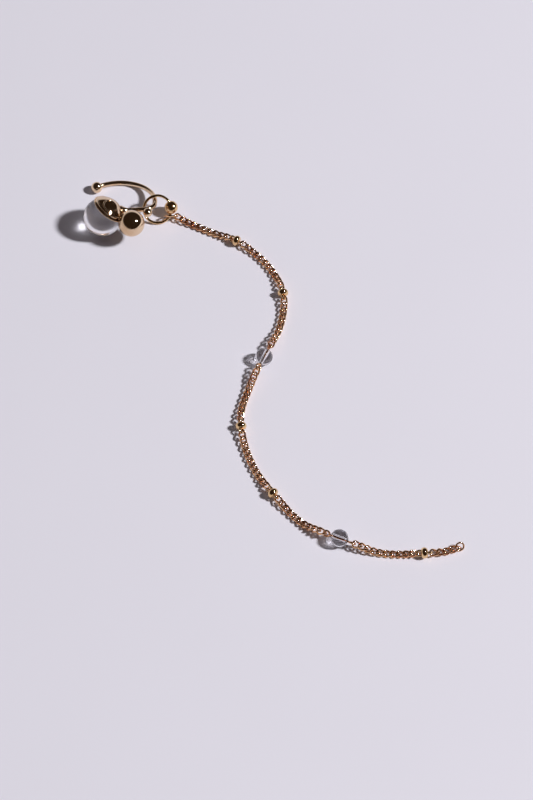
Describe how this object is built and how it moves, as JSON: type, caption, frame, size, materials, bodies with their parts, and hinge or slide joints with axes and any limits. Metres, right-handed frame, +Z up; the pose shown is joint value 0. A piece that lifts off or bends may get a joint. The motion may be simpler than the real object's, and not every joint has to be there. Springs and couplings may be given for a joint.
{
  "type": "ear chain earring",
  "caption": "Gold ear hook with a clear glass ball in a cup and a gold ball at the front, and a long fine curb chain with small gold and glass beads, lying in curves.",
  "frame": {"origin": "middle of the ear hook's round loop, 3.31 mm above the surface that the earring lies on", "axes": "+Z up off the surface, +X from the hook towards the chain's start, +Y away from the camera and towards the back of the loop"},
  "size_m": [0.076, 0.0904, 0.0084],
  "materials": {
    "gold": "polished, gold plated",
    "clear_glass": "polished, clear"
  },
  "bodies": {
    "root": {"ear_hook": "gold", "glass_ball": "clear_glass", "hoop_ring": "gold", "jump_ring": "gold", "chain_upper": "gold", "chain_lower": "gold", "gold_bead_1": "gold", "gold_bead_2": "gold", "gold_bead_3": "gold", "gold_bead_4": "gold", "gold_bead_5": "gold", "glass_bead_1": "clear_glass", "glass_bead_2": "clear_glass", "bead_pin_1": "gold", "bead_pin_2": "gold", "end_ring": "gold"}
  },
  "joints": []
}
